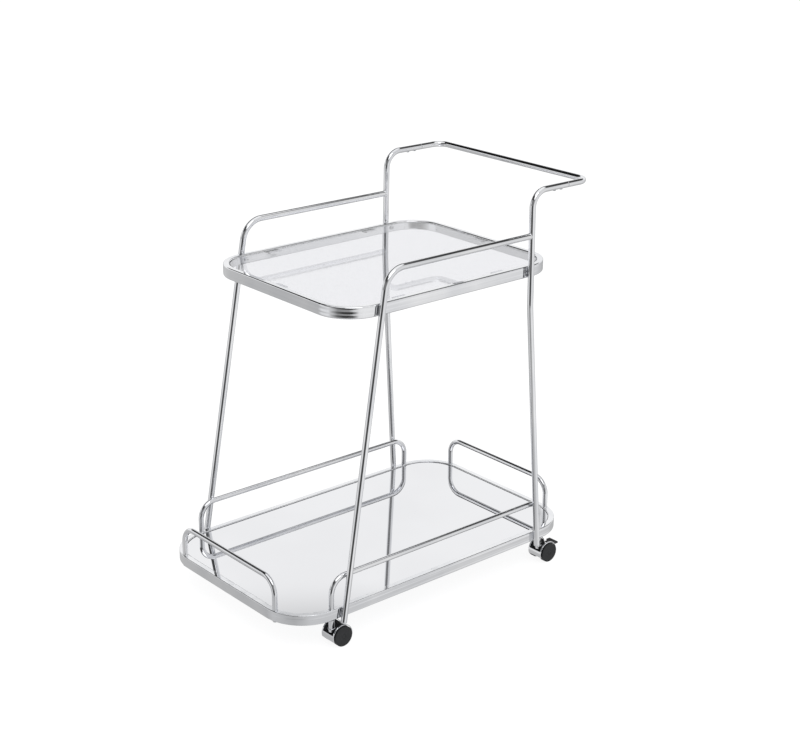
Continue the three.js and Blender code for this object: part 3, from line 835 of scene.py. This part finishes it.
def casterHood(openFrom):
    # bent sheet: a wall at the stem's side, side rings over the wheels, an opening on top
    deselect()
    bpy.ops.mesh.primitive_cylinder_add(vertices=caster["hoodSides"], radius=caster["hoodOuter"] * mm,
                                        depth=caster["hoodWidth"] * mm, end_fill_type="NOTHING",
                                        rotation=(math.pi / 2, 0, 0))
    hood = fix(bpy.context.object)
    ringY = (caster["hoodWidth"] / 2 - caster["hoodRing"]) * mm
    openForEdit(hood)
    for y in (-ringY, ringY):
        bpy.ops.mesh.select_all(action="SELECT")
        bpy.ops.mesh.bisect(plane_co=(0, y, 0), plane_no=across)
    below = caster["hoodBelow"]

    def isGone(face):
        centre = face.calc_center_median()
        angle = around(centre)
        inOpening = openFrom < angle < 180 - caster["openStemSide"] and abs(centre.y) < ringY
        return inOpening or not -below < angle < 180 + below

    pick("FACE", isGone)
    bpy.ops.mesh.delete(type="FACE")
    bpy.ops.mesh.select_all(action="SELECT")
    bpy.ops.mesh.normals_make_consistent(inside=False)
    closeEdit()
    if sum(face.normal.dot(face.center) for face in hood.data.polygons) < 0:
        hood.data.flip_normals()
    thicken(hood, caster["hoodWall"] * mm)
    soften(hood, caster["hoodEdge"] * mm, 3, 50)
    return hood


def casterCore():
    # hub, web and rib of one moulding
    core = addDisc(caster["hub"] * mm, 2 * caster["webHalf"] * mm, origin, across)
    reach = caster["trail"] + caster["neck"] / 2
    webWidth = 2 * caster["webHalf"] - coreShape["webIn"]
    webSize = (reach - coreShape["webShort"], webWidth, coreShape["webHeight"])
    combine(core, addBlock(Vector(webSize) * mm, Vector((-reach / 2, 0, coreShape["webZ"])) * mm), "UNION")
    ribSize = (caster["trail"] + coreShape["ribOver"], coreShape["ribWidth"], coreShape["ribHeight"])
    ribCentre = (-caster["trail"] / 2, 0, coreShape["ribZ"])
    combine(core, addBlock(Vector(ribSize) * mm, Vector(ribCentre) * mm), "UNION")
    soften(core, coreShape["edge"] * mm, 2, 35)
    return core


def casterNeck():
    # the plated sleeve that the stem turns in, with a flange and a rolled top
    bottom, top = neckShape["bottom"], caster["neckTop"] - caster["wheel"] / 2
    radius = caster["neck"] / 2
    neck = addDisc(radius * mm, (top - bottom) * mm, Vector((-caster["trail"], 0, (top + bottom) / 2)) * mm)
    shapeCap(neck, up, neckShape["mouth"])
    collarCentre = Vector((-caster["trail"], 0, bottom + neckShape["collarUp"])) * mm
    collar = addDisc((radius + neckShape["collarOut"]) * mm, neckShape["collarHeight"] * mm, collarCentre)
    combine(neck, collar, "UNION")
    soften(neck, neckShape["edge"] * mm, 3, 35)
    return neck


def casterWheel():
    # outside face towards -Y: a raised tread ring, a flat disc and a shallow hub cap
    radius, width = caster["wheel"] / 2, caster["wheelWidth"]
    centre = Vector((0, (width - caster["track"]) / 2, 0)) * mm
    wheel = addDisc(radius * mm, width * mm, centre, across, wheelShape["sides"])
    shapeCap(wheel, -across, wheelShape["outside"])
    shapeCap(wheel, across, wheelShape["inside"])
    soften(wheel, wheelShape["edge"] * mm, 4, 50)
    return wheel


def brakePedal():
    # a ribbed tread, the arm under it and the barrel that it turns on
    shoulder = caster["hoodOuter"] + pedal["hoodGap"]
    tread = addBlock(Vector((pedal["reach"] - shoulder, pedal["width"], pedal["thickness"])) * mm,
                     Vector(((pedal["reach"] + shoulder) / 2, 0, pedal["height"])) * mm)
    openForEdit(tread)
    ribX = [shoulder + (pedal["reach"] - shoulder) * k / pedal["ribs"] for k in range(1, pedal["ribs"])]
    for x in ribX:
        bpy.ops.mesh.select_all(action="SELECT")
        bpy.ops.mesh.bisect(plane_co=(x * mm, 0, 0), plane_no=lengthways)
    cutLines = [shoulder, *ribX, pedal["reach"]]

    def isGroove(face):
        centre = face.calc_center_median() / mm
        strip = sum(centre.x > x for x in cutLines)
        return face.normal.z > facingIt and strip % 2 == 0

    pick("FACE", isGroove)
    bpy.ops.mesh.inset(thickness=pedal["grooveIn"] * mm, use_boundary=True, use_individual=True)
    bpy.ops.transform.translate(value=(0, 0, -pedal["ribHeight"] * mm))
    closeEdit()
    armEnd = shoulder + pedal["armUnder"]
    armSize = (armEnd - pedal["pivotOut"], pedal["armWidth"], pedal["thickness"] - pedal["armThinner"])
    arm = addBlock(Vector(armSize) * mm, Vector(((armEnd + pedal["pivotOut"]) / 2, 0, pedal["height"])) * mm)
    barrel = addDisc((pedal["thickness"] / 2 + pedal["barrelOut"]) * mm, pedal["armWidth"] * mm,
                     Vector((pedal["pivotOut"], 0, pedal["height"])) * mm, across)
    combine(tread, arm, "UNION")
    combine(tread, barrel, "UNION")
    soften(tread, pedal["edge"] * mm, 2, 40)
    return tread


axleZ = caster["wheel"] / 2 * mm
models = {"frontHood": casterHood(caster["openFarSide"]), "rearHood": casterHood(caster["openBraked"]),
          "core": casterCore(), "neck": casterNeck(), "wheel": casterWheel(), "pedal": brakePedal()}
stemLow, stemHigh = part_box("front_near_caster_stem")
stemCentre = Vector((-caster["trail"] * mm, 0, (stemLow.z + stemHigh.z) / 2 - axleZ))
stem = addDisc((stemHigh.x - stemLow.x) / 2, stemHigh.z - stemLow.z, stemCentre, up, pinShape["sides"])
shapeCap(stem, up, pinShape["stemTip"])
soften(stem, pinShape["stemEdge"] * mm, 2)
axleLength = (caster["track"] - pinShape["axleShort"]) * mm
axle = addDisc(pinShape["axleRadius"] * mm, axleLength, origin, across, pinShape["sides"])
shapeCap(axle, across, pinShape["axleEnd"])
soften(axle, pinShape["axleEdge"] * mm, 2)

for end in ends:
    for name, side in sides.items():
        label = f"{end}_{name}"
        low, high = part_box(f"{label}_caster_wheel_outer")
        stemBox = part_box(f"{label}_caster_stem")
        centre = Vector(((low.x + high.x) / 2, (stemBox[0].y + stemBox[1].y) / 2, (low.z + high.z) / 2))
        place = Matrix.Translation(centre)
        about = place @ Matrix.Rotation(math.pi, 4, "Z")      # turned round, for the wheel that looks to +Y
        swivel = f"{label}_swivel"
        finishPiece(twin(models[f"{end}Hood"], f"casterHood_{label}", place), bandChrome, "chrome", swivel,
                    f"{label}_caster_hood")
        finishPiece(twin(models["core"], f"casterCore_{label}", place), coreBlack, "black_plastic", swivel,
                    f"{label}_caster_core")
        finishPiece(twin(models["neck"], f"casterNeck_{label}", place), tubeChrome, "chrome", swivel)
        finishPiece(twin(stem, f"casterStem_{label}", place), fastenerSteel, "steel", swivel,
                    f"{label}_caster_stem")
        finishPiece(twin(axle, f"casterAxle_{label}", place), fastenerSteel, "steel", swivel,
                    f"{label}_caster_axle")
        outerPlace, innerPlace = (place, about) if side < 0 else (about, place)
        for position, spot in (("outer", outerPlace), ("inner", innerPlace)):
            finishPiece(twin(models["wheel"], f"casterWheel_{label}_{position}", spot), wheelBlack,
                        "black_wheel", f"{label}_{position}_wheel", f"{label}_caster_wheel_{position}")
        if end == "rear":
            finishPiece(twin(models["pedal"], f"brakePedal_{label}", place), coreBlack, "black_plastic",
                        f"{label}_brake", f"{label}_caster_brake_pedal")
for model in (*models.values(), stem, axle):
    bpy.data.objects.remove(model)
print("casters made")


# ---- studio

studio = {
    "floorSize": 40.0, "floorColour": (0.16, 0.16, 0.165, 1), "floorGlow": 0.9, "sky": 1.0,
    "key": {"place": (-1.2, -2.2, 3.4), "size": 2.6, "power": 25},
    # what polished metal sees: tones by azimuth in degrees, in layers from straight down to the ceiling
    "layers": [
        [(-180, 0.5), (-139, 0.5), (-118, 0.6), (-60, 0.5), (-20, 0.65), (41, 0.66), (92, 0.5), (139, 0.45),
         (180, 0.5)],
        [(-180, 0.55), (-139, 0.5), (-118, 0.66), (-104, 0.74), (-90, 0.6), (-74, 0.3), (-42, 0.3),
         (-28, 0.68), (-10, 0.86), (0, 0.88), (41, 0.88), (75, 0.8), (92, 0.55), (139, 0.5), (180, 0.55)],
        [(-180, 0.6), (-139, 0.52), (-126, 0.85), (-102, 0.85), (-92, 0.5), (-76, 0.16), (-60, 0.05),
         (-34, 0.04), (-24, 0.3), (-14, 0.8), (0, 0.86), (41, 0.8), (92, 0.6), (120, 0.45), (145, 0.45),
         (180, 0.6)],
        [(-180, 0.9), (-125, 0.9), (-108, 0.24), (-56, 0.2), (-24, 0.22), (-14, 0.6), (0, 0.72), (50, 0.75),
         (95, 0.9), (120, 0.97), (180, 0.95)],
        [(-180, 0.06), (-40, 0.08), (-10, 0.3), (15, 0.75), (48, 0.75), (54, 0.06), (180, 0.06)],
        [(0, 1.0)],
    ],
    # where one layer passes into the next, as sines of the elevation
    "edges": [(-0.48, -0.38), (-0.33, -0.30), (0.03, 0.07), (0.46, 0.52), (0.77, 0.83)],
    # a dark card behind the handle, its corners in X and Z
    "card": {"low": (-1.3, 1.2), "high": (0.75, 2.2), "y": 0.9, "thickness": 0.01},
}

deselect()
bpy.ops.mesh.primitive_plane_add(size=studio["floorSize"], location=(0, 0, 0))
floor = bpy.context.object
floor.name = "studioFloor"
floorMaterial = newMaterial("floorPaint", {
    "Base Color": studio["floorColour"], "Roughness": 0.9, "Specular IOR Level": 0.1,
    "Emission Color": (1, 1, 1, 1), "Emission Strength": studio["floorGlow"]})[0]
floor.data.materials.append(floorMaterial)
floor.visible_glossy = False           # metal sees the painted surroundings instead

cardMaterial = newMaterial("cardCloth", {"Base Color": (0.01, 0.01, 0.01, 1), "Roughness": 1.0,
                                         "Specular IOR Level": 0.0})[0]
(cardLowX, cardLowZ), (cardHighX, cardHighZ) = studio["card"]["low"], studio["card"]["high"]
card = addBlock((cardHighX - cardLowX, studio["card"]["thickness"], cardHighZ - cardLowZ),
                ((cardLowX + cardHighX) / 2, studio["card"]["y"], (cardLowZ + cardHighZ) / 2))
card.name = "studioCard"
card.data.materials.append(cardMaterial)
card.visible_camera = card.visible_diffuse = card.visible_transmission = card.visible_shadow = False

world = bpy.data.worlds.new("studioSky")
bpy.context.scene.world = world
world.use_nodes = True
flow = Flow(world.node_tree)
direction = flow.node("ShaderNodeSeparateXYZ", {}, {0: flow.node("ShaderNodeTexCoord")})


def part(index):
    # one coordinate of the ray's direction
    return Flow(flow.tree, direction.socket.node.outputs[index])


azimuth = flow.maths("ARCTAN2", part(0), 0 - part(1)) * (1 / (2 * math.pi)) + 0.5
rise = part(2)


def layer(tones):
    # one layer's tones round the compass
    stops = [((angle + 180) / 360, (tone, tone, tone, 1)) for angle, tone in tones]
    return flow.node("ShaderNodeValToRGB", {"stops": stops}, {0: azimuth})


surround = layer(studio["layers"][0])
for (low, high), tones in zip(studio["edges"], studio["layers"][1:]):
    surround = rise.ramp(low, high).blend(surround, layer(tones))
isGlossy = flow.node("ShaderNodeLightPath", out=3)
background = world.node_tree.nodes["Background"]
flow.tree.links.new(isGlossy.blend((1, 1, 1, 1), surround).socket, background.inputs["Color"])
background.inputs["Strength"].default_value = studio["sky"]

keyLight = bpy.data.lights.new("keyLight", "AREA")
keyLight.shape, keyLight.size, keyLight.energy = "DISK", studio["key"]["size"], studio["key"]["power"]
keyObject = bpy.data.objects.new("keyLight", keyLight)
bpy.context.scene.collection.objects.link(keyObject)
keyObject.location = studio["key"]["place"]
keyObject.rotation_euler = (-Vector(studio["key"]["place"])).to_track_quat("-Z", "Y").to_euler()
bpy.context.scene.view_settings.view_transform = "Standard"

view = {"azimuth": -40.92, "elevation": 20.13, "roll": 0.58, "distance": 3.3889, "lens": 73.54,
        "aim": (0.0469, -0.0289, 0.4412)}
camera = bpy.data.objects.new("camera", bpy.data.cameras.new("camera"))
bpy.context.scene.collection.objects.link(camera)
camera.data.lens, camera.data.sensor_width = view["lens"], 36
turn = (Matrix.Rotation(math.radians(view["azimuth"]), 4, "Z")
        @ Matrix.Rotation(math.radians(90 - view["elevation"]), 4, "X"))
camera.matrix_world = (Matrix.Translation(Vector(view["aim"])) @ turn
                       @ Matrix.Translation((0, 0, view["distance"]))
                       @ Matrix.Rotation(math.radians(view["roll"]), 4, "Z"))
bpy.context.scene.camera = camera
print("studio ready")
